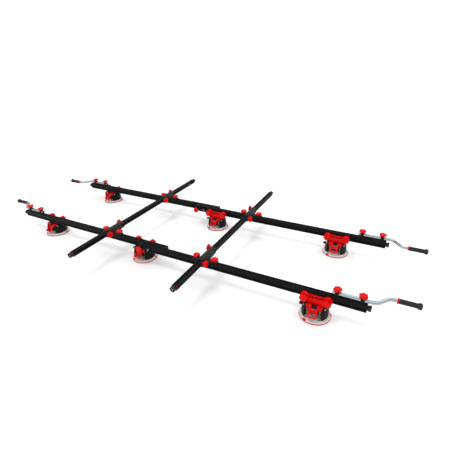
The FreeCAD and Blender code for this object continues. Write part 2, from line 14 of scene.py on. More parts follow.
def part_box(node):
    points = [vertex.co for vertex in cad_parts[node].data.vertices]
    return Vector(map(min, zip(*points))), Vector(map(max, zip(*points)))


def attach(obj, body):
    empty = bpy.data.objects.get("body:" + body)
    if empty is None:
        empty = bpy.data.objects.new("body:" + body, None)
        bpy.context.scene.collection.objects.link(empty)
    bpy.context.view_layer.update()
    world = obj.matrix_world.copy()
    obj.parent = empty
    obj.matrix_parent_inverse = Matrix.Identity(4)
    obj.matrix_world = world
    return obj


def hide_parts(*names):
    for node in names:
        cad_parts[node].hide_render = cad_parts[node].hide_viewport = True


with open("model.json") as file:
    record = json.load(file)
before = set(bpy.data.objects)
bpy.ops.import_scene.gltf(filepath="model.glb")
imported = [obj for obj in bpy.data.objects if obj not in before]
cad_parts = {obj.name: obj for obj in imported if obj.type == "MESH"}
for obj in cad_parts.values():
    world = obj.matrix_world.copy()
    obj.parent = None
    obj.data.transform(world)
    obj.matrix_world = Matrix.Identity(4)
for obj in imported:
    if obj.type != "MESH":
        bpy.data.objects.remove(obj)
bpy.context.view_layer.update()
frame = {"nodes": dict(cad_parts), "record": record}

bl_info = {
    "name": "Slab carrying frame",
    "version": (1, 0, 0),
    "blender": (4, 5, 0),
    "location": "3D View > Sidebar > Slab frame",
    "description": "Builds the visible pieces of a telescopic slab carrying frame around its packed model",
    "category": "Object",
}

MM = 0.001
SIDES = ("left", "right")
ROWS = ("front", "back")
OUTWARD_X = {"left": -1.0, "right": 1.0}      # towards the outer end of a rail half
INWARD_Y = {"front": 1.0, "back": -1.0}       # towards the middle of the frame
CUPS = {                                      # name of a cup: the half of the frame that carries it
    "front_right": "right",
    "back_right": "right",
    "back_middle": "right",
    "front_middle": "left",
    "front_left": "left",
    "back_left": "left",
}

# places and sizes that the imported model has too
FLANGE_KNOB_X = 57.5 * MM
FLANGE_TOP = 6.3 * MM          # above the rail
SADDLE_OFFSET = 18.0 * MM
SADDLE_HALF_WIDTH = 17.8 * MM
SIDE_KNOB_Y = 78.0 * MM
STRAP_AT = (-135.0 * MM, -22.0 * MM)
STRAP_TOP_Z = 163.5 * MM
HANDLE_PUSH_IN = {"left": 29.0 * MM, "right": 0.0}
CLAMP_KNOB_X = -10.0 * MM
CLAMP_SCREW_X = 50.0 * MM
CLAMP_PLATE = 5.3 * MM
BRACKET_KNOB_X = 56.0 * MM
PIN_Y = -30.0 * MM
PIN_Z = 71.0 * MM
EAR_TOP_Z = 79.0 * MM
DISC_TOP_Z = 14.0 * MM
SIDE_SLOT_DROP = 7.0 * MM      # the rails' side slots lie below the rail axis
# half width, half height, chamfer and slot drop of a section
RAIL_SECTION = (14.0 * MM, 23.0 * MM, 4.5 * MM, SIDE_SLOT_DROP)
BAR_SECTION = (15.0 * MM, 15.0 * MM, 4.0 * MM, 0.0)
TUBE_Z = 150.0 * MM
TUBE_RADIUS = 9.0 * MM
TUBE_BORE_RADIUS = 7.5 * MM
TUBE_BEND = 38.0 * MM
# corners of a handle tube in millimetres: outward from the rail's end, and inward
TUBE_PATH = ((-157.0, 0.0), (38.0, 0.0), (86.0, 60.0), (208.0, 60.0))

# heights of the knobs' hubs, and lengths of the studs below them
KNOB_HUB = 8.0 * MM
SIDE_KNOB_HUB = 14.0 * MM
STRAP_KNOB_HUB = 4.0 * MM
RAIL_STUD = 12.9 * MM
BAR_STUD = 9.4 * MM
STRAP_STUD = 4.2 * MM
BRACKET_STUD = 26.9 * MM

# the screw in the left bar's slot: from the bar's far end, and below its face
SLOT_SCREW_Y = 75.0 * MM
SLOT_SCREW_DEPTH = 2.2 * MM

# end stops, along their axis
GASKET = 1.5 * MM
CAP = 1.45 * MM
CAP_GAP = 0.05 * MM
BUMPER_SCREW_AT = 12.4 * MM

# detail of a cup
PIN_SCREW_X = 50.4 * MM
EAR_SCREW = (49.0 * MM, 8.0 * MM)
FOOT_SCREW = (34.0 * MM, -53.0 * MM)
SCREW_SINK = 0.2 * MM
SPRING_X = 31.8 * MM
SPRING_FOOT = 1.5 * MM         # above the disc
SPRING_RADIUS = 7.2 * MM
SPRING_HEIGHT = 45.0 * MM
BRACKET_EDGE = 0.45 * MM
# pull tabs: name, turn in degrees, half width in millimetres and finish
TABS = (("left", 243, 9, "red_rubber"), ("right", 12, 6, "red_rubber"), ("front", 316, 8, "disc"))
TAB_REACH = 74.0 * MM
TAB_Z = 9.4 * MM
# blocks on a lever: name, half sizes, edge radius and offset from the pin in millimetres, finish, slot
LEVER_BLOCKS = (
    ("cam", (14.0, 9.0, 9.0), 1.2, (0.0, -2.2, -0.4), "black", "black_plastic"),
    ("clip", (12.5, 0.5, 1.3), 0.3, (0.0, -11.5, -7.8), "zinc", "zinc_tube"),
)

# stage
FLOOR_RADIUS = 30.0
FLOOR_THICKNESS = 0.02
KEY_LIGHT_AT = (-1.4, -0.6, 4.4)
KEY_LIGHT_ANGLE = math.radians(20)
FILL_LIGHT_AT = (2.6, 2.2, 3.0)
FILL_LIGHT_SIZE = 2.2
LIGHT_AIM = (0, 0, 0.1)
# brightness of the light tent by height, from the horizon up
SKY_ZONES = ((0.0, 1.0), (0.14, 1.0), (0.30, 0.45), (0.60, 0.55), (0.86, 1.0))

SHARP_ANGLE = math.radians(36)     # edges past it are drawn sharp
BEVEL_ANGLE = math.radians(28)     # edges past it are rounded
UP = Vector((0, 0, 1))
NORTH = Vector((0, 1, 0))
EAST = Vector((1, 0, 0))


# ---- settings that a user would change ----
class SlabFrameColours(bpy.types.PropertyGroup):
    """Base colours of the finishes."""

    red_plastic: FloatVectorProperty(
        name="Red plastic", description="Knobs, brackets, levers and end plates",
        subtype="COLOR", size=3, min=0, max=1, default=(0.70, 0.002, 0.002))
    black_profile: FloatVectorProperty(
        name="Black profile", description="Anodised rails and cross bars",
        subtype="COLOR", size=3, min=0, max=1, default=(0.0045, 0.0045, 0.0045))
    black_plastic: FloatVectorProperty(
        name="Black plastic", description="Saddles, straps, clamps and cup bodies",
        subtype="COLOR", size=3, min=0, max=1, default=(0.006, 0.006, 0.006))
    disc_plastic: FloatVectorProperty(
        name="Disc plastic", description="Backing discs of the cups",
        subtype="COLOR", size=3, min=0, max=1, default=(0.63, 0.64, 0.62))
    zinc: FloatVectorProperty(
        name="Zinc plating", description="Handle tubes, studs and screws",
        subtype="COLOR", size=3, min=0, max=1, default=(0.38, 0.42, 0.46))


class SlabFrameSizes(bpy.types.PropertyGroup):
    """Sizes of the visible detail."""

    edge_radius: FloatProperty(
        name="Edge radius", description="Rounding of the moulded pieces' edges",
        unit="LENGTH", min=0.0002, max=0.003, default=1.1 * MM)
    knob_radius: FloatProperty(
        name="Knob radius", description="Star knobs of the saddles, straps and brackets",
        unit="LENGTH", min=0.01, max=0.03, default=21.0 * MM)
    clamp_knob_radius: FloatProperty(
        name="Clamp knob radius", description="Star knobs of the telescope clamps",
        unit="LENGTH", min=0.01, max=0.03, default=20.0 * MM)
    knob_lobes: IntProperty(
        name="Knob lobes", description="Finger lobes of a star knob", min=4, max=9, default=6)
    spring_turns: FloatProperty(
        name="Spring turns", description="Turns of a return spring", min=3, max=12, default=9.5)
    spring_wire: FloatProperty(
        name="Spring wire", description="Radius of the return springs' wire",
        unit="LENGTH", min=0.0004, max=0.003, default=1.2 * MM)
    grip_rib_pitch: FloatProperty(
        name="Grip rib pitch", description="Distance between the ribs of a hand grip",
        unit="LENGTH", min=0.002, max=0.02, default=5.0 * MM)


class SlabFrameStudio(bpy.types.PropertyGroup):
    """Camera and light."""

    eye: FloatVectorProperty(
        name="Eye", description="Place of the camera", subtype="XYZ", unit="LENGTH", size=3,
        default=(1.2129, -1.6716, 1.1812))
    aim: FloatVectorProperty(
        name="Aim", description="Point that the camera looks at", subtype="XYZ", unit="LENGTH", size=3,
        default=(0.2644, 0.0800, 0.1101))
    roll: FloatProperty(
        name="Roll", description="Turn of the camera about its line of sight", subtype="ANGLE",
        unit="ROTATION", default=math.radians(-2.08))
    lens: FloatProperty(
        name="Lens", description="Focal length on a 36 mm sensor, in millimetres",
        min=10, max=200, default=26.875)
    sky: FloatProperty(
        name="Sky", description="Strength of the light from all around", min=0, max=5, default=1.3)
    sun: FloatProperty(
        name="Key light", description="Strength of the soft light from the front left",
        min=0, max=10, default=0.7)
    fill_power: FloatProperty(
        name="Fill light", description="Power of the light on the far side", unit="POWER", min=0, max=2000,
        default=30.0)


def settings():
    scene = bpy.context.scene
    return scene.slab_frame_colours, scene.slab_frame_sizes, scene.slab_frame_studio


# ---- places read from the frame ----
def middle(node):
    low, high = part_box(node)
    return (low + high) / 2


def rail_node(side, row):
    return "rail_" + row + "_" + side


def rail_axis(side, row):
    return middle(rail_node(side, row))


def rail_top(side, row):
    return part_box(rail_node(side, row))[1].z


def rail_end(side, row):
    """X of the outer end of a rail half."""
    low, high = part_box(rail_node(side, row))
    return high.x if side == "right" else low.x


def cup_centre(cup):
    """Centre of a cup's disc on the slab."""
    place = middle("cup_" + cup + "_disc")
    return Vector((place.x, place.y, 0))


def bracket_outward(cup):
    """Side of the rail that a cup's bracket is on: -1 near, +1 far."""
    return -1.0 if CUPS[cup] == "right" else 1.0


def body_of_node(node):
    for body, nodes in frame["record"]["behaviour"]["bodies"].items():
        if node in nodes:
            return body
    raise RuntimeError("no body holds " + node)


# ---- outlines and meshes ----
def turns(count):
    """Angles of a full circle in equal steps."""
    return [2 * math.pi * i / count for i in range(count)]


def polar(radius, angle, height):
    return Vector((radius * math.cos(angle), radius * math.sin(angle), height))


def rounded(points, radius, steps=4, closed=True):
    """The same outline with its corners turned into arcs, as far as its sides allow."""
    count = len(points)
    result = []
    for i, point in enumerate(points):
        corner = Vector(point)
        if not closed and i in (0, count - 1):
            result.append(corner)
            continue
        back = Vector(points[i - 1]) - corner
        ahead = Vector(points[(i + 1) % count]) - corner
        angle = back.angle(ahead)
        if angle > math.radians(176):
            result.append(corner)
            continue
        reach = min(radius / math.tan(angle / 2), 0.45 * back.length, 0.45 * ahead.length)
        start = corner + back.normalized() * reach
        end = corner + ahead.normalized() * reach
        to_centre = (back.normalized() + ahead.normalized()).normalized()
        centre = corner + to_centre * (reach / math.cos(angle / 2))
        arm, last = start - centre, end - centre
        turn = math.pi - angle
        sign = 1.0 if arm.x * last.y - arm.y * last.x > 0 else -1.0
        for k in range(steps + 1):
            a = sign * turn * k / steps
            cos, sin = math.cos(a), math.sin(a)
            result.append(centre + Vector((arm.x * cos - arm.y * sin, arm.x * sin + arm.y * cos)))
    return result


def skin(rings, loop=False):
    """Closed surface over rings of points; a ring of one point is a pole."""
    mesh = bmesh.new()
    made = [[mesh.verts.new(point) for point in ring] for ring in rings]
    pairs = list(zip(made, made[1:]))
    if loop:
        pairs.append((made[-1], made[0]))
    for low, high in pairs:
        count = max(len(low), len(high))
        for i in range(count):
            j = (i + 1) % count
            corners = (low[i % len(low)], low[j % len(low)], high[j % len(high)], high[i % len(high)])
            distinct = list(dict.fromkeys(corners))
            if len(distinct) > 2:
                mesh.faces.new(distinct)
    bmesh.ops.recalc_face_normals(mesh, faces=mesh.faces[:])
    return mesh


def lathe(profile, segments, loop=False):
    """Surface of revolution about Z from (radius, height) points; a point on the axis is a pole."""
    rings = []
    for radius, height in profile:
        if radius < 1e-7:
            rings.append([Vector((0, 0, height))])
        else:
            rings.append([polar(radius, a, height) for a in turns(segments)])
    return skin(rings, loop)


def soften(mesh, width):
    """Rounds the sharp edges of a closed mesh."""
    sharp = [e for e in mesh.edges if e.is_manifold and e.calc_face_angle(0) > BEVEL_ANGLE]
    if sharp:
        bmesh.ops.bevel(mesh, geom=sharp, offset=width, offset_type="OFFSET", segments=2, profile=0.5,
                        affect="EDGES", clamp_overlap=True)


def plate(outline, thickness, edge):
    """Closed plate with its outline in XY, from z = 0 to its thickness, with rounded edges."""
    mesh = bmesh.new()
    low = [mesh.verts.new((x, y, 0)) for x, y in outline]
    high = [mesh.verts.new((x, y, thickness)) for x, y in outline]
    mesh.faces.new(low[::-1])
    mesh.faces.new(high)
    for i, corner in enumerate(low):
        j = (i + 1) % len(low)
        mesh.faces.new((corner, low[j], high[j], high[i]))
    bmesh.ops.recalc_face_normals(mesh, faces=mesh.faces[:])
    soften(mesh, edge)
    return mesh


def block(half_x, half_y, half_z, edge):
    """Block about the origin with rounded edges."""
    outline = [(-half_x, -half_y), (half_x, -half_y), (half_x, half_y), (-half_x, half_y)]
    mesh = plate(rounded(outline, 2 * edge), 2 * half_z, edge)
    bmesh.ops.translate(mesh, verts=mesh.verts[:], vec=(0, 0, -half_z))
    return mesh


def facing(direction, place=(0, 0, 0), spin=0.0):
    """Matrix that turns +Z to a direction, after a spin about it, and moves to a place."""
    turn = Vector(direction).to_track_quat("Z", "Y").to_matrix().to_4x4()
    return Matrix.Translation(place) @ turn @ Matrix.Rotation(spin, 4, "Z")


def placed(mesh, matrix):
    bmesh.ops.transform(mesh, matrix=matrix, verts=mesh.verts[:])
    return mesh


def object_from(name, mesh, finish):
    data = bpy.data.meshes.new(name)
    mesh.to_mesh(data)
    mesh.free()
    data.shade_smooth()
    data.set_sharp_from_angle(angle=SHARP_ANGLE)
    data.materials.append(finish)
    piece = bpy.data.objects.new(name, data)
    bpy.context.scene.collection.objects.link(piece)
    return piece


def fitted(piece, body, slot, *nodes):
    """Ties a finished piece to its body and hides the CAD nodes that it stands for; its material slot is not
    used.
    """
    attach(piece, body)
    if nodes:
        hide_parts(*nodes)
    return piece


def softened_copy(node, name, width, finish, slot):
    """A copy of a CAD node with its sharp edges rounded, which stands in the node's place."""
    mesh = bmesh.new()
    mesh.from_mesh(frame["nodes"][node].data)
    bmesh.ops.remove_doubles(mesh, verts=mesh.verts[:], dist=2e-6)
    bmesh.ops.dissolve_limit(mesh, angle_limit=math.radians(0.5), verts=mesh.verts[:], edges=mesh.edges[:])
    soften(mesh, width)
    return fitted(object_from(name, mesh, finish), body_of_node(node), slot, node)


def refinish(node, finish):
    """Gives a CAD node that stays its finish."""
    data = frame["nodes"][node].data
    data.materials.clear()
    data.materials.append(finish)


def link(tree, source, output, target, socket):
    """Joins an output of one node, by name or number, to an input of another."""
    tree.links.new(source.outputs[output], target.inputs[socket])


# ---- repeated pieces, by geometry nodes ----
def new_tree(name, inputs):
    """Geometry node tree with its group input and output; inputs are (name, socket type) pairs."""
    tree = bpy.data.node_groups.new(name, "GeometryNodeTree")
    tree.interface.new_socket("Places", in_out="INPUT", socket_type="NodeSocketGeometry")
    for title, kind in inputs:
        tree.interface.new_socket(title, in_out="INPUT", socket_type=kind)
    tree.interface.new_socket("Pieces", in_out="OUTPUT", socket_type="NodeSocketGeometry")
    return tree, tree.nodes.new("NodeGroupInput"), tree.nodes.new("NodeGroupOutput")


def finish_tree(tree, given, result, source):
    """Instances on the places, turned as each place says, then made real and given their finish."""
    on_points = tree.nodes.new("GeometryNodeInstanceOnPoints")
    turn = tree.nodes.new("GeometryNodeInputNamedAttribute")
    turn.data_type = "FLOAT_VECTOR"
    turn.inputs["Name"].default_value = "turn"
    real = tree.nodes.new("GeometryNodeRealizeInstances")
    finish = tree.nodes.new("GeometryNodeSetMaterial")
    link(tree, given, "Places", on_points, "Points")
    link(tree, source, "Geometry", on_points, "Instance")
    link(tree, turn, "Attribute", on_points, "Rotation")
    link(tree, on_points, "Instances", real, "Geometry")
    link(tree, real, "Geometry", finish, "Geometry")
    link(tree, given, "Finish", finish, "Material")
    link(tree, finish, "Geometry", result, "Pieces")
    return tree


def pattern_tree():
    """Repeats a pattern object on the places."""
    inputs = [("Pattern", "NodeSocketObject"), ("Finish", "NodeSocketMaterial")]
    tree, given, result = new_tree("repeat a pattern", inputs)
    pattern = tree.nodes.new("GeometryNodeObjectInfo")
    pattern.transform_space = "ORIGINAL"
    link(tree, given, "Pattern", pattern, "Object")
    return finish_tree(tree, given, result, pattern)


def coil_tree():
    """Winds a round wire into a coil on each place."""
    inputs = [(title, "NodeSocketFloat") for title in ("Turns", "Coil Radius", "Height", "Wire Radius")]
    inputs.append(("Finish", "NodeSocketMaterial"))
    tree, given, result = new_tree("coil spring", inputs)
    spiral = tree.nodes.new("GeometryNodeCurveSpiral")
    spiral.inputs["Resolution"].default_value = 28
    wire = tree.nodes.new("GeometryNodeCurvePrimitiveCircle")
    wire.inputs["Resolution"].default_value = 8
    sweep = tree.nodes.new("GeometryNodeCurveToMesh")
    sweep.inputs["Fill Caps"].default_value = True
    smooth = tree.nodes.new("GeometryNodeSetShadeSmooth")
    link(tree, given, "Turns", spiral, "Rotations")
    link(tree, given, "Coil Radius", spiral, "Start Radius")
    link(tree, given, "Coil Radius", spiral, "End Radius")
    link(tree, given, "Height", spiral, "Height")
    link(tree, given, "Wire Radius", wire, "Radius")
    link(tree, spiral, "Curve", sweep, "Curve")
    link(tree, wire, "Curve", sweep, "Profile Curve")
    link(tree, sweep, "Mesh", smooth, "Geometry")
    return finish_tree(tree, given, result, smooth)


def repeated(name, tree, matrices, values):
    """Runs a tree on a set of places and returns its result as a plain mesh object."""
    base = bpy.data.meshes.new(name + "_places")
    base.from_pydata([matrix.translation for matrix in matrices], [], [])
    turns = base.attributes.new("turn", "FLOAT_VECTOR", "POINT")
    for item, matrix in zip(turns.data, matrices):
        item.vector = matrix.to_euler()
    scratch = bpy.data.objects.new(name + "_places", base)
    bpy.context.scene.collection.objects.link(scratch)
    modifier = scratch.modifiers.new("pieces", "NODES")
    modifier.node_group = tree
    for socket in tree.interface.items_tree:
        if socket.in_out == "INPUT" and socket.name in values:
            modifier[socket.identifier] = values[socket.name]
    bpy.context.view_layer.update()
    evaluated = scratch.evaluated_get(bpy.context.evaluated_depsgraph_get())
    data = bpy.data.meshes.new_from_object(evaluated)
    data.name = name
    scratch.modifiers.clear()
    bpy.data.objects.remove(scratch)
    piece = bpy.data.objects.new(name, data)
    bpy.context.scene.collection.objects.link(piece)
    return piece


def patterned(name, pattern, matrices, finish):
    """Copies of a pattern mesh at each matrix, as one plain mesh object."""
    model = object_from(name + "_pattern", pattern, finish)
    piece = repeated(name, TREES["pattern"], matrices, {"Pattern": model, "Finish": finish})
    bpy.data.objects.remove(model)
    return piece


# ---- finishes ----
def shader(name, colour, roughness, metallic=0.0):
    finish = bpy.data.materials.new(name)
    finish.use_nodes = True
    surface = finish.node_tree.nodes["Principled BSDF"]
    surface.inputs["Base Color"].default_value = (*colour, 1)
    surface.inputs["Roughness"].default_value = roughness
    surface.inputs["Metallic"].default_value = metallic
    return finish, finish.node_tree, surface


def pattern_noise(tree, scale, stretch=(1, 1, 1), detail=3.0):
    """Noise on object coordinates; stretch divides its grain along each axis."""
    where = tree.nodes.new("ShaderNodeTexCoord")
    mapping = tree.nodes.new("ShaderNodeMapping")
    mapping.inputs["Scale"].default_value = stretch
    noise = tree.nodes.new("ShaderNodeTexNoise")
    noise.inputs["Scale"].default_value = scale
    noise.inputs["Detail"].default_value = detail
    link(tree, where, "Object", mapping, "Vector")
    link(tree, mapping, "Vector", noise, "Vector")
    return noise


def ramp(tree, source, low, high, start=0.35, end=0.65):
    """Colour ramp between two colours."""
    node = tree.nodes.new("ShaderNodeValToRGB")
    node.color_ramp.elements[0].position = start
    node.color_ramp.elements[0].color = (*low, 1)
    node.color_ramp.elements[1].position = end
    node.color_ramp.elements[1].color = (*high, 1)
    link(tree, source, 0, node, "Fac")
    return node


def toned(tree, surface, source, colour, low, high):
    """Base colour that drifts between two shades of a colour."""
    tone = ramp(tree, source, scaled(colour, low), scaled(colour, high))
    link(tree, tone, "Color", surface, "Base Color")


def roughened(tree, surface, source, low, high):
    """Roughness that follows a 0 to 1 value from low to high."""
    node = tree.nodes.new("ShaderNodeMapRange")
    node.inputs["To Min"].default_value = low
    node.inputs["To Max"].default_value = high
    link(tree, source, 0, node, "Value")
    link(tree, node, "Result", surface, "Roughness")


def bump(tree, surface, source, height, strength):
    node = tree.nodes.new("ShaderNodeBump")
    node.inputs["Distance"].default_value = height
    node.inputs["Strength"].default_value = strength
    link(tree, source, 0, node, "Height")
    link(tree, node, "Normal", surface, "Normal")


def edge_mask(tree, radius):
    """1 on the flats and less near an edge."""
    soft = tree.nodes.new("ShaderNodeBevel")
    soft.samples = 6
    soft.inputs["Radius"].default_value = radius
    true = tree.nodes.new("ShaderNodeNewGeometry")
    dot = tree.nodes.new("ShaderNodeVectorMath")
    dot.operation = "DOT_PRODUCT"
    link(tree, soft, "Normal", dot, 0)
    link(tree, true, "Normal", dot, 1)
    keep = tree.nodes.new("ShaderNodeMapRange")
    keep.inputs["From Min"].default_value = 0.80
    keep.inputs["From Max"].default_value = 0.97
    link(tree, dot, "Value", keep, "Value")
    return keep


def scaled(colour, factor):
    return tuple(min(1.0, c * factor) for c in colour)


def paint_edge_wear_and_highlight(tree, surface, base, edge_wear_and_highlight_tone, radius):
    """Base colour pattern on the flats and a paler tone near edges, partly rubbed wear and partly a painted
    edge highlight.
    """
    mask = edge_mask(tree, radius)
    mix = tree.nodes.new("ShaderNodeMix")
    mix.data_type = "RGBA"
    mix.inputs["A"].default_value = (*edge_wear_and_highlight_tone, 1)
    link(tree, mask, "Result", mix, "Factor")
    link(tree, base, "Color", mix, "B")
    link(tree, mix, "Result", surface, "Base Color")


def anodised(name, colour, along):
    """Black anodised extrusion with the fine lines of the die along it."""
    finish, tree, surface = shader(name, colour, 0.42)
    surface.inputs["Specular IOR Level"].default_value = 0.07
    stretch = (0.012, 1, 1) if along == "X" else (1, 0.012, 1)
    lines = pattern_noise(tree, 900, stretch, 4.0)
    tone = pattern_noise(tree, 9, detail=4.0)
    base = ramp(tree, tone, scaled(colour, 0.8), scaled(colour, 1.5))
    # paler edges: rubbed wear and a painted edge highlight that shows their rounding
    paint_edge_wear_and_highlight(tree, surface, base, scaled(colour, 9.0), 0.9 * MM)
    roughened(tree, surface, lines, 0.33, 0.52)
    bump(tree, surface, lines, 0.05 * MM, 0.5)
    return finish


def moulded(name, colour, roughness, edge_wear_and_highlight_tone):
    """Injection-moulded plastic: fine spark-eroded grain, flow tone and paler edges, partly rubbed wear and
    partly a painted edge highlight.
    """
    finish, tree, surface = shader(name, colour, roughness)
    surface.inputs["Specular IOR Level"].default_value = 0.1
    flow = pattern_noise(tree, 26, detail=2.0)
    texture = pattern_noise(tree, 1500, detail=2.0)
    base = ramp(tree, flow, scaled(colour, 0.86), scaled(colour, 1.08))
    # paler edges: rubbed wear and a painted edge highlight
    paint_edge_wear_and_highlight(tree, surface, base, edge_wear_and_highlight_tone, 0.8 * MM)
    roughened(tree, surface, flow, roughness - 0.06, roughness + 0.08)
    bump(tree, surface, texture, 0.06 * MM, 0.35)
    return finish


def rubber(name, colour):
    """Matt rubber with a dusty bloom."""
    finish, tree, surface = shader(name, colour, 0.72)
    surface.inputs["Specular IOR Level"].default_value = 0.35
    bloom = pattern_noise(tree, 60, detail=5.0)
    texture = pattern_noise(tree, 2200, detail=2.0)
    toned(tree, surface, bloom, colour, 0.8, 1.7)
    roughened(tree, surface, bloom, 0.62, 0.84)
    bump(tree, surface, texture, 0.08 * MM, 0.4)
    return finish


def plated(name, colour, roughness):
    """Bright zinc plating with faint spangle and drawing marks."""
    finish, tree, surface = shader(name, colour, roughness, 1.0)
    marks = pattern_noise(tree, 700, (0.03, 1, 1))
    toned(tree, surface, pattern_noise(tree, 240), colour, 0.82, 1.12)
    roughened(tree, surface, marks, roughness - 0.1, roughness + 0.14)
    bump(tree, surface, marks, 0.03 * MM, 0.3)
    return finish


def disc_finish(name, colour):
    """Pale, slightly translucent plastic."""
    finish, tree, surface = shader(name, colour, 0.36)
    surface.inputs["Subsurface Weight"].default_value = 0.12
    surface.inputs["Subsurface Scale"].default_value = 4.0 * MM
    cloud = pattern_noise(tree, 30)
    toned(tree, surface, cloud, colour, 0.94, 1.05)
    roughened(tree, surface, cloud, 0.30, 0.44)
    bump(tree, surface, pattern_noise(tree, 1200), 0.04 * MM, 0.25)
    return finish


FINISHES = {}
TREES = {}


def make_finishes():
    colours = settings()[0]
    red, black = tuple(colours.red_plastic), tuple(colours.black_plastic)
    FINISHES["rail"] = anodised("black anodised, along the rails", tuple(colours.black_profile), "X")
    FINISHES["bar"] = anodised("black anodised, along the bars", tuple(colours.black_profile), "Y")
    # the last colour of each moulded finish is its edge tone: rubbed wear and a painted edge highlight
    FINISHES["red"] = moulded("red moulded plastic", red, 0.34, (0.80, 0.02, 0.014))
    FINISHES["black"] = moulded("black moulded plastic", black, 0.45, scaled(black, 4.5))
    FINISHES["saddle"] = moulded("dark grey casting", scaled(black, 4.0), 0.5, scaled(black, 8.0))
    FINISHES["rubber"] = rubber("black rubber", (0.012, 0.012, 0.012))
    FINISHES["red_rubber"] = rubber("red rubber", (0.50, 0.006, 0.005))
    FINISHES["zinc"] = plated("zinc plating", tuple(colours.zinc), 0.30)
    FINISHES["spring"] = plated("spring steel", (0.40, 0.33, 0.29), 0.34)
    FINISHES["disc"] = disc_finish("pale disc plastic", tuple(colours.disc_plastic))


# ---- star knobs, studs and screws ----
def star_knob_mesh(radius, lobes, hub):
    """Lobed knob on a conical hub, from z = 0 up, with a dished top."""
    per_lobe = 10
    # each ring: reach and lobe depth as shares of the radius, and height above the hub in millimetres
    hub_mm = hub / MM
    rings = [(0.40, 0.00, -hub_mm), (0.42, 0.00, 0.5 - hub_mm), (0.50, 0.00, -1.0), (0.60, 0.01, -0.1),
             (0.84, 0.12, 0.2), (0.95, 0.19, 0.8), (0.99, 0.225, 1.8), (1.00, 0.23, 3.0), (1.00, 0.23, 7.4),
             (0.985, 0.226, 9.0), (0.94, 0.21, 10.3), (0.86, 0.17, 11.0), (0.62, 0.05, 11.0),
             (0.46, 0.00, 10.8), (0.40, 0.00, 10.1), (0.32, 0.00, 9.9)]
    shapes = [[Vector((0, 0, 0))]]
    for reach, depth, height in rings:
        ring = []
        for a in turns(lobes * per_lobe):
            valley = (0.5 - 0.5 * math.cos(lobes * a)) ** 1.5
            ring.append(polar(radius * (reach - depth * valley), a, hub + height * MM))
        shapes.append(ring)
    shapes.append([Vector((0, 0, hub + 9.8 * MM))])
    return skin(shapes)


def stud_mesh(length, t_head):
    """M8 stud below z = 0 with its thread, and the round head that sits in a T-slot."""
    pitch, crest, root = 1.25 * MM, 3.9 * MM, 3.3 * MM
    foot = -length + (4.0 * MM if t_head else 0.0)
    profile = [(0, 1.0 * MM), (root, 1.0 * MM)]
    height = 0.5 * MM
    while height - pitch > foot:
        profile += [(crest, height - 0.4 * pitch), (crest, height - 0.6 * pitch), (root, height - pitch)]
        height -= pitch
    if t_head:
        profile += [(6.2 * MM, foot - 0.1 * MM), (6.2 * MM, -length + 0.5 * MM), (5.7 * MM, -length)]
    profile.append((0, -length))
    return lathe(profile, 20)


def socket_screw_mesh(radius, height):
    """Cap screw head with a hexagon socket, standing on z = 0."""
    socket, floor = 0.5 * radius, 0.4 * height
    around = turns(24)
    rings = [[Vector((0, 0, 0))]]
    for reach, level in ((radius, 0), (radius, 0.75 * height), (0.86 * radius, height)):
        rings.append([polar(reach, a, level) for a in around])
    flat = socket * math.cos(math.pi / 6)
    for level in (height, floor):
        rings.append([polar(flat / math.cos(a % (math.pi / 3) - math.pi / 6), a, level) for a in around])
    rings.append([Vector((0, 0, floor))])
    return skin(rings)


def knob_set(name, places, stud_length, body, node, t_head=True, radius=None, hub=KNOB_HUB):
    """Star knobs and their studs on a set of (place, direction, spin) seats."""
    sizes = settings()[1]
    matrices = [facing(direction, place, spin) for place, direction, spin in places]
    head = star_knob_mesh(radius or sizes.knob_radius, sizes.knob_lobes, hub)
    knobs = patterned(name, head, matrices, FINISHES["red"])
    fitted(knobs, body, "red_plastic", node)
    stud = stud_mesh(stud_length, t_head)
    studs = patterned(name.replace("knob", "stud"), stud, matrices, FINISHES["zinc"])
    fitted(studs, body, "zinc_tube")


def screw_set(name, places, radius, height, body):
    """Socket screws on a set of (place, direction) seats."""
    matrices = [facing(direction, place) for place, direction in places]
    screws = patterned(name, socket_screw_mesh(radius, height), matrices, FINISHES["zinc"])
    fitted(screws, body, "zinc_tube")


def saddle_middle(side, row):
    bar = middle("cross_bar_" + side)
    return Vector((bar.x, rail_axis(side, row).y + INWARD_Y[row] * SADDLE_OFFSET, bar.z))


class SLABFRAME_OT_saddle_knobs(bpy.types.Operator):
    """Star knobs that clamp the saddles on the rails and on the cross bars"""

    bl_idname = "slabframe.saddle_knobs"
    bl_label = "Saddle knobs"

    def execute(self, context):
        for side in SIDES:
            on_rail, on_bar = [], []
            for row in ROWS:
                centre = saddle_middle(side, row)
                rail_y, flange_z = rail_axis(side, row).y, rail_top(side, row) + FLANGE_TOP
                for n, end in enumerate((-1, 1)):
                    seat = (centre.x + end * FLANGE_KNOB_X, rail_y, flange_z)
                    on_rail.append((seat, UP, 0.2 + 0.35 * n + (0.15 if row == "back" else 0.0)))
                    seat = (centre.x + end * SADDLE_HALF_WIDTH, centre.y - end * SIDE_KNOB_Y, centre.z)
                    on_bar.append((seat, end * EAST, 0.4 * n))
            body, node = side + "_bar", "saddle_knobs_" + side
            knob_set("saddle_rail_knobs_" + side, on_rail, RAIL_STUD, body, node)
            knob_set("saddle_bar_knobs_" + side, on_bar, BAR_STUD, body, node, hub=SIDE_KNOB_HUB)
        return {"FINISHED"}


def strap_x(side, row, at):
    """X of a strap; the tubes of the left side are pushed further in, and their straps with them."""
    return rail_end(side, row) + OUTWARD_X[side] * (at - HANDLE_PUSH_IN[side])


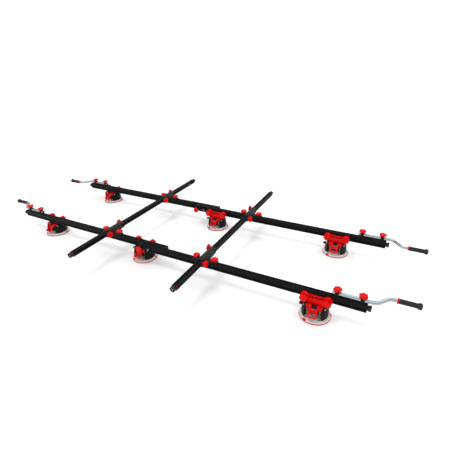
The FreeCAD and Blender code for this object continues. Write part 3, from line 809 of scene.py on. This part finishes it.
class SLABFRAME_OT_strap_knobs(bpy.types.Operator):
    """Star knobs that clamp the handle tubes"""

    bl_idname = "slabframe.strap_knobs"
    bl_label = "Strap knobs"

    def execute(self, context):
        for side in SIDES:
            seats = []
            for row in ROWS:
                for n, at in enumerate(STRAP_AT):
                    place = (strap_x(side, row, at), rail_axis(side, row).y, STRAP_TOP_Z)
                    seats.append((place, UP, 0.3 + 0.4 * n))
            node = "strap_knobs_" + side
            knob_set(node + "_heads", seats, STRAP_STUD, side + "_frame", node, t_head=False,
                     hub=STRAP_KNOB_HUB)
        return {"FINISHED"}


class SLABFRAME_OT_telescope_clamps(bpy.types.Operator):
    """Telescope clamps with their knobs and screws"""

    bl_idname = "slabframe.telescope_clamps"
    bl_label = "Telescope clamps"

    def execute(self, context):
        sizes = settings()[1]
        softened_copy("telescope_clamps", "telescope_clamp_blocks", sizes.edge_radius, FINISHES["black"],
                      "black_plastic")
        screws = []
        for row in ROWS:
            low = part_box(rail_node("right", row))[0]
            axis_z = rail_axis("right", row).z
            seat = (low.x + CLAMP_KNOB_X, low.y - CLAMP_PLATE, axis_z - SIDE_SLOT_DROP)
            node = "telescope_knob_" + row
            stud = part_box(node)[1].y - seat[1]
            knob_set(node + "_head", [(seat, -NORTH, 0.25)], stud, node, node,
                     radius=sizes.clamp_knob_radius)
            place = (low.x + CLAMP_SCREW_X, low.y - CLAMP_PLATE + 0.3 * MM, axis_z)
            screws.append((place, -NORTH))
        screw_set("telescope_clamp_screws", screws, 5.0 * MM, 4.0 * MM, "right_frame")
        return {"FINISHED"}


# ---- profiles and their ends ----
class SLABFRAME_OT_profiles(bpy.types.Operator):
    """Anodised finish of the rails and cross bars, and the screw in the left bar's slot"""

    bl_idname = "slabframe.profiles"
    bl_label = "Profiles"

    def execute(self, context):
        for side in SIDES:
            for row in ROWS:
                refinish(rail_node(side, row), FINISHES["rail"])
            refinish("cross_bar_" + side, FINISHES["bar"])
        low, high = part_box("cross_bar_left")
        place = (high.x - SLOT_SCREW_DEPTH, high.y - SLOT_SCREW_Y, (low.z + high.z) / 2)
        screw_set("bar_slot_screw", [(place, EAST)], 3.9 * MM, 3.4 * MM, "left_bar")
        return {"FINISHED"}


def end_plate_mesh(w, h, c, drop, thickness):
    """Plate with a profile's section, notched at its slots, in XY; it stands on z = 0."""
    notch, depth = 4.1 * MM, 2.2 * MM
    upper = [(w - depth, notch - drop), (w, notch - drop), (w, h - c), (w - c, h), (notch, h),
             (notch, h - depth)]
    lower = [(-notch, depth - h), (-notch, -h), (c - w, -h), (-w, c - h), (-w, -notch - drop),
             (depth - w, -notch - drop)]
    outline = upper + [(-x, y) for x, y in reversed(upper)]
    outline += lower[::-1] + [(-x, y) for x, y in lower]
    return plate([Vector(point) for point in outline], thickness, 0.4 * MM)


def bumper_mesh():
    """Round rubber bumper along +Z with a recess for its screw."""
    outline = [(0, 0), (12.6, 0), (12.6, 6.0), (14.9, 7.5), (14.9, 18.0), (6.4, 18.0), (5.6, 12.5),
               (0, 12.5)]
    profile = rounded([(r * MM, z * MM) for r, z in outline], 1.2 * MM, 4, closed=False)
    return lathe(profile, 40)


def end_set(name, ends, section, body, node, gasket_finish, bumpers=True):
    """Gaskets and caps with a profile's section, and bumpers with screws, at (place, direction) ends."""
    matrices = [end_matrix(direction, place) for place, direction in ends]
    plate_mesh = end_plate_mesh(*section, GASKET)
    gaskets = patterned(name + "_gaskets", plate_mesh, matrices, FINISHES[gasket_finish])
    fitted(gaskets, body, gasket_finish + "_plastic", node)
    on_gasket = raised(matrices, GASKET + CAP_GAP)
    caps = patterned(name + "_caps", end_plate_mesh(*section, CAP), on_gasket, FINISHES["black"])
    fitted(caps, body, "black_plastic")
    if bumpers:
        on_cap = raised(on_gasket, CAP)
        fitted(patterned(name + "_bumpers", bumper_mesh(), on_cap, FINISHES["rubber"]), body, "rubber")
        recesses = raised(on_cap, BUMPER_SCREW_AT)
        head = socket_screw_mesh(4.8 * MM, 3.6 * MM)
        screws = patterned(name + "_screws", head, recesses, FINISHES["zinc"])
        fitted(screws, body, "zinc_tube")


def raised(matrices, height):
    """The same seats, moved along their own Z."""
    return [matrix @ Matrix.Translation((0, 0, height)) for matrix in matrices]


def end_matrix(direction, place):
    """Turns +Z to a level direction and +Y to up."""
    forward = Vector(direction)
    right = UP.cross(forward)
    matrix = Matrix((right, UP, forward)).transposed().to_4x4()
    matrix.translation = place
    return matrix


class SLABFRAME_OT_end_stops(bpy.types.Operator):
    """Gaskets, caps and rubber bumpers at the ends of the rails and cross bars"""

    bl_idname = "slabframe.end_stops"
    bl_label = "End stops"

    def execute(self, context):
        for side in SIDES:
            out = OUTWARD_X[side] * EAST
            ends = []
            for row in ROWS:
                axis = rail_axis(side, row)
                ends.append(((rail_end(side, row), axis.y, axis.z), out))
            body, node = side + "_frame", "rail_bumpers_" + side
            end_set("rail_end_" + side, ends, RAIL_SECTION, body, node, "black")
            low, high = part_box("cross_bar_" + side)
            bar = (low + high) / 2
            ends = [((bar.x, low.y, bar.z), -NORTH), ((bar.x, high.y, bar.z), NORTH)]
            end_set("bar_end_" + side, ends, BAR_SECTION, side + "_bar", "bar_stops_" + side, "red")
        ends = []
        for row in ROWS:
            low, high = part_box(rail_node("left", row))
            ends.append(((high.x, (low.y + high.y) / 2, (low.z + high.z) / 2), EAST))
        end_set("rail_inner_end", ends, RAIL_SECTION, "left_frame", "rail_end_plates", "red", bumpers=False)
        return {"FINISHED"}


# ---- saddles and straps ----
class SLABFRAME_OT_saddles(bpy.types.Operator):
    """Black saddles that carry the cross bars"""

    bl_idname = "slabframe.saddles"
    bl_label = "Saddles"

    def execute(self, context):
        width = settings()[1].edge_radius
        for side in SIDES:
            softened_copy("saddles_" + side, "saddle_castings_" + side, width, FINISHES["saddle"],
                          "black_plastic")
        return {"FINISHED"}


class SLABFRAME_OT_straps(bpy.types.Operator):
    """Straps that hold the handle tubes on the rails"""

    bl_idname = "slabframe.straps"
    bl_label = "Handle straps"

    def execute(self, context):
        width = settings()[1].edge_radius
        for side in SIDES:
            softened_copy("handle_straps_" + side, "handle_strap_blocks_" + side, width, FINISHES["black"],
                          "black_plastic")
        return {"FINISHED"}


# ---- handles ----
def grip_mesh(pitch):
    """Ribbed grip along +Z from its inner end, with a bulged closed end."""
    collar, foot, end = 6.0 * MM, 8.0 * MM, 100.0 * MM
    radius, groove, bulge, bore = 12.5 * MM, 11.6 * MM, 15.5 * MM, 9.05 * MM
    profile = [(bore, collar), (radius, collar), (radius, foot)]
    height = foot
    while height + pitch < end - 20 * MM:
        profile += [(radius, height + 0.30 * pitch), (groove, height + 0.45 * pitch),
                    (groove, height + 0.8 * pitch), (radius, height + 0.95 * pitch)]
        height += pitch
    profile += [(radius, end - 18 * MM), (bulge, end - 12 * MM), (bulge, end - 4 * MM),
                (bulge - 4 * MM, end), (0, end), (0, end - 8 * MM), (bore, end - 8 * MM)]
    first = rounded(profile, 0.7 * MM, 3, closed=False)
    return lathe([(max(p.x, 0.0), p.y) for p in first] + [(bore, collar + 0.01 * MM)], 36)


def collar_mesh():
    """Red ring at the inner end of a grip."""
    outline = [(9.1, 0.0), (14.0, 0.0), (14.0, 5.6), (9.1, 5.6)]
    return lathe(rounded([(r * MM, z * MM) for r, z in outline], 1.4 * MM, 4), 40, loop=True)


def tube_mesh(side, row):
    """Bent tube along its path, with rims where its bore opens."""
    origin = Vector((strap_x(side, row, 0.0), rail_axis(side, row).y, TUBE_Z))
    out, inward = OUTWARD_X[side] * EAST, INWARD_Y[row] * NORTH
    path = rounded([(u * MM, v * MM) for u, v in TUBE_PATH], TUBE_BEND, 14, closed=False)
    middles = [origin + out * p.x + inward * p.y for p in path]
    outer, inner = [], []
    for i, place in enumerate(middles):
        run = (middles[min(i + 1, len(middles) - 1)] - middles[max(i - 1, 0)]).normalized()
        across = run.cross(UP)
        spokes = [math.cos(a) * across + math.sin(a) * UP for a in turns(32)]
        outer.append([place + TUBE_RADIUS * spoke for spoke in spokes])
        inner.append([place + TUBE_BORE_RADIUS * spoke for spoke in spokes])
    return skin(outer + inner[::-1], loop=True)


class SLABFRAME_OT_handles(bpy.types.Operator):
    """Cranked tubes with their ribbed grips and red collars"""

    bl_idname = "slabframe.handles"
    bl_label = "Handles"

    def execute(self, context):
        pitch = settings()[1].grip_rib_pitch
        for side in SIDES:
            for row in ROWS:
                tag = row + "_" + side
                tube = object_from("handle_bent_tube_" + tag, tube_mesh(side, row), FINISHES["zinc"])
                fitted(tube, "handle_" + tag, "zinc_tube", "handle_tube_" + tag)
                low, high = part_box("handle_grip_" + tag)
                inner_end = (low + high) / 2
                inner_end.x = low.x if side == "right" else high.x
                place = facing(OUTWARD_X[side] * EAST, inner_end)
                grip = object_from("grip_rubber_" + tag, placed(grip_mesh(pitch), place), FINISHES["rubber"])
                fitted(grip, "handle_" + tag, "rubber", "handle_grip_" + tag)
                collar = object_from("grip_collar_" + tag, placed(collar_mesh(), place), FINISHES["red"])
                fitted(collar, "handle_" + tag, "red_plastic")
        return {"FINISHED"}


# ---- suction cups ----
def disc_mesh():
    """Backing disc with a rolled rim and a shallow groove round the body."""
    outline = [(0, 4.0), (62.0, 4.0), (63.0, 4.6), (76.0, 4.6), (76.0, 9.6), (74.4, 12.9), (71.5, 13.9),
               (70.0, 13.6), (67.4, 13.6), (66.4, 14.0), (0, 14.0)]
    return lathe(rounded([(r * MM, z * MM) for r, z in outline], 1.2 * MM, 4, closed=False), 96)


def seal_mesh():
    """Sealing ring under the rim, with a feathered inner lip."""
    outline = [(63.0, 4.55), (66.0, 0.0), (77.0, 0.0), (78.0, 1.2), (77.4, 4.4), (76.2, 4.55)]
    return lathe(rounded([(r * MM, z * MM) for r, z in outline], 0.6 * MM, 3), 96, loop=True)


def tab_mesh(width):
    """Pull tab of the sealing ring: a rounded tongue that climbs over the rim, along +X."""
    outline = [(-5, -width), (5, -width), (5, width), (-5, width)]
    tab = plate(rounded([(x * MM, y * MM) for x, y in outline], 3 * MM, 5), 3.4 * MM, 0.8 * MM)
    return placed(tab, Matrix.Rotation(math.radians(34), 4, "Y"))


class SLABFRAME_OT_cup_discs(bpy.types.Operator):
    """Backing discs, sealing rings and pull tabs"""

    bl_idname = "slabframe.cup_discs"
    bl_label = "Cup discs"

    def execute(self, context):
        for cup in CUPS:
            body = "cup_" + cup
            centre = Matrix.Translation(cup_centre(cup))
            disc = object_from(body + "_backing", placed(disc_mesh(), centre), FINISHES["disc"])
            fitted(disc, body, "grey_plastic", body + "_disc")
            seal = object_from(body + "_seal", placed(seal_mesh(), centre), FINISHES["red_rubber"])
            fitted(seal, body, "rubber")
            for tag, degrees, width, finish in TABS:
                turn = Matrix.Rotation(math.radians(degrees), 4, "Z")
                matrix = centre @ turn @ Matrix.Translation((TAB_REACH, 0, TAB_Z))
                tab = object_from(body + "_tab_" + tag, placed(tab_mesh(width), matrix), FINISHES[finish])
                fitted(tab, body, "rubber")
        return {"FINISHED"}


class SLABFRAME_OT_cup_bodies(bpy.types.Operator):
    """Black cup bodies with their screws and return springs"""

    bl_idname = "slabframe.cup_bodies"
    bl_label = "Cup bodies"

    def execute(self, context):
        sizes = settings()[1]
        for cup in CUPS:
            body = "cup_" + cup
            centre = cup_centre(cup)
            softened_copy(body + "_body", body + "_housing", sizes.edge_radius, FINISHES["black"],
                          "black_plastic")
            screws, coils = [], []
            for end in (-1, 1):
                pin_end = centre + Vector((end * PIN_SCREW_X, PIN_Y, PIN_Z))
                ear_top = centre + Vector((end * EAR_SCREW[0], EAR_SCREW[1], EAR_TOP_Z - SCREW_SINK))
                foot = centre + Vector((end * FOOT_SCREW[0], FOOT_SCREW[1], DISC_TOP_Z - SCREW_SINK))
                screws += [(pin_end, Vector((end, -0.6, 0.2)).normalized()), (ear_top, UP), (foot, UP)]
                coil_foot = Vector((end * SPRING_X, PIN_Y, DISC_TOP_Z + SPRING_FOOT))
                coils.append(Matrix.Translation(centre + coil_foot))
            screw_set(body + "_screws", screws, 4.4 * MM, 4.0 * MM, body)
            values = {"Turns": sizes.spring_turns, "Coil Radius": SPRING_RADIUS, "Height": SPRING_HEIGHT,
                      "Wire Radius": sizes.spring_wire, "Finish": FINISHES["spring"]}
            springs = repeated(body + "_springs", TREES["coil"], coils, values)
            fitted(springs, body, "zinc_tube")
        return {"FINISHED"}


class SLABFRAME_OT_cup_levers(bpy.types.Operator):
    """Red levers with their cam blocks"""

    bl_idname = "slabframe.cup_levers"
    bl_label = "Cup levers"

    def execute(self, context):
        width = settings()[1].edge_radius
        for cup in CUPS:
            node, body = "cup_" + cup + "_lever", "lever_" + cup
            softened_copy(node, node + "_frame", width, FINISHES["red"], "red_plastic")
            pin = cup_centre(cup) + Vector((0, PIN_Y, PIN_Z))
            for name, halves, edge, offset, finish, slot in LEVER_BLOCKS:
                shape = block(*(half * MM for half in halves), edge * MM)
                place = Matrix.Translation(pin + Vector(offset) * MM)
                fitted(object_from(node + "_" + name, placed(shape, place), FINISHES[finish]), body, slot)
        return {"FINISHED"}


class SLABFRAME_OT_cup_brackets(bpy.types.Operator):
    """Bone-shaped brackets and their star knobs"""

    bl_idname = "slabframe.cup_brackets"
    bl_label = "Cup brackets"

    def execute(self, context):
        for cup in CUPS:
            body = "cup_" + cup
            node = body + "_bracket"
            softened_copy(node, node + "_bone", BRACKET_EDGE, FINISHES["red"], "red_plastic")
            low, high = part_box(node)
            out = bracket_outward(cup)
            centre = cup_centre(cup)
            level = rail_axis(CUPS[cup], "front").z - SIDE_SLOT_DROP
            face = high.y if out > 0 else low.y
            seats = [((centre.x + end * BRACKET_KNOB_X, face, level), out * NORTH, 0.3 + 0.2 * end)
                     for end in (-1, 1)]
            knob_set(body + "_knob_heads", seats, BRACKET_STUD, body, body + "_knobs")
        return {"FINISHED"}


# ---- stage ----
def hung(data, place):
    """Hangs a light at a place, aimed at the frame."""
    light = bpy.data.objects.new(data.name, data)
    light.location = place
    light.rotation_euler = (Vector(LIGHT_AIM) - Vector(place)).to_track_quat("-Z", "Y").to_euler()
    bpy.context.scene.collection.objects.link(light)


def soft_sky(strength):
    """White near the horizon, a darker band above it and a bright zone overhead, as in a light tent."""
    world = bpy.data.worlds.new("light tent")
    world.use_nodes = True
    tree = world.node_tree
    where = tree.nodes.new("ShaderNodeTexCoord")
    split = tree.nodes.new("ShaderNodeSeparateXYZ")
    link(tree, where, "Generated", split, "Vector")
    zones = tree.nodes.new("ShaderNodeValToRGB")
    while len(zones.color_ramp.elements) < len(SKY_ZONES):
        zones.color_ramp.elements.new(0.5)
    for element, (height, level) in zip(zones.color_ramp.elements, SKY_ZONES):
        element.position = height
        element.color = (level, level, level, 1)
    link(tree, split, "Z", zones, "Fac")
    background = tree.nodes["Background"]
    link(tree, zones, "Color", background, "Color")
    background.inputs["Strength"].default_value = strength
    return world


class SLABFRAME_OT_stage(bpy.types.Operator):
    """Pale floor, soft light and camera"""

    bl_idname = "slabframe.stage"
    bl_label = "Stage"

    def execute(self, context):
        studio = settings()[2]
        finish, tree, surface = shader("pale floor", (0.97, 0.97, 0.97), 0.85)
        surface.inputs["Specular IOR Level"].default_value = 0.1
        bump(tree, surface, pattern_noise(tree, 300), 0.05 * MM, 0.1)
        section = [(0, -FLOOR_THICKNESS), (FLOOR_RADIUS, -FLOOR_THICKNESS), (FLOOR_RADIUS, 0), (0, 0)]
        object_from("floor", lathe(section, 96), finish)
        context.scene.world = soft_sky(studio.sky)
        context.scene.view_settings.view_transform = "Standard"
        sun = bpy.data.lights.new("key light", "SUN")
        sun.energy = studio.sun
        sun.angle = KEY_LIGHT_ANGLE
        hung(sun, KEY_LIGHT_AT)
        fill = bpy.data.lights.new("fill light", "AREA")
        fill.shape = "DISK"
        fill.size = FILL_LIGHT_SIZE
        fill.energy = studio.fill_power
        hung(fill, FILL_LIGHT_AT)
        data = bpy.data.cameras.new("camera")
        data.sensor_width = 36.0
        data.lens = studio.lens
        data.clip_start = 0.05
        data.clip_end = 100.0
        camera = bpy.data.objects.new("camera", data)
        sight = (Vector(studio.aim) - Vector(studio.eye)).to_track_quat("-Z", "Y").to_matrix().to_4x4()
        camera.matrix_world = Matrix.Translation(studio.eye) @ sight @ Matrix.Rotation(studio.roll, 4, "Z")
        context.scene.collection.objects.link(camera)
        context.scene.camera = camera
        return {"FINISHED"}


# ---- add-on ----
class SLABFRAME_PT_panel(bpy.types.Panel):
    """Lists the settings and the pieces"""

    bl_idname = "SLABFRAME_PT_panel"
    bl_label = "Slab frame"
    bl_space_type = "VIEW_3D"
    bl_region_type = "UI"
    bl_category = "Slab frame"

    def draw(self, context):
        layout = self.layout
        for group in settings():
            column = layout.column(align=True)
            for name in group.bl_rna.properties.keys():
                if name not in ("rna_type", "name"):
                    column.prop(group, name)
        for operator in OPERATORS:
            layout.operator(operator.bl_idname)


OPERATORS = (
    SLABFRAME_OT_profiles,
    SLABFRAME_OT_end_stops,
    SLABFRAME_OT_saddles,
    SLABFRAME_OT_saddle_knobs,
    SLABFRAME_OT_telescope_clamps,
    SLABFRAME_OT_straps,
    SLABFRAME_OT_strap_knobs,
    SLABFRAME_OT_handles,
    SLABFRAME_OT_cup_discs,
    SLABFRAME_OT_cup_bodies,
    SLABFRAME_OT_cup_levers,
    SLABFRAME_OT_cup_brackets,
    SLABFRAME_OT_stage,
)
CLASSES = (SlabFrameColours, SlabFrameSizes, SlabFrameStudio, *OPERATORS, SLABFRAME_PT_panel)


def register():
    for cls in CLASSES:
        bpy.utils.register_class(cls)
    bpy.types.Scene.slab_frame_colours = PointerProperty(type=SlabFrameColours)
    bpy.types.Scene.slab_frame_sizes = PointerProperty(type=SlabFrameSizes)
    bpy.types.Scene.slab_frame_studio = PointerProperty(type=SlabFrameStudio)


def unregister():
    del bpy.types.Scene.slab_frame_studio
    del bpy.types.Scene.slab_frame_sizes
    del bpy.types.Scene.slab_frame_colours
    for cls in reversed(CLASSES):
        bpy.utils.unregister_class(cls)


def main():
    register()
    make_finishes()
    TREES["pattern"] = pattern_tree()
    TREES["coil"] = coil_tree()
    for operator in OPERATORS:
        group, name = operator.bl_idname.split(".")
        getattr(getattr(bpy.ops, group), name)()


if __name__ == "__main__":
    main()
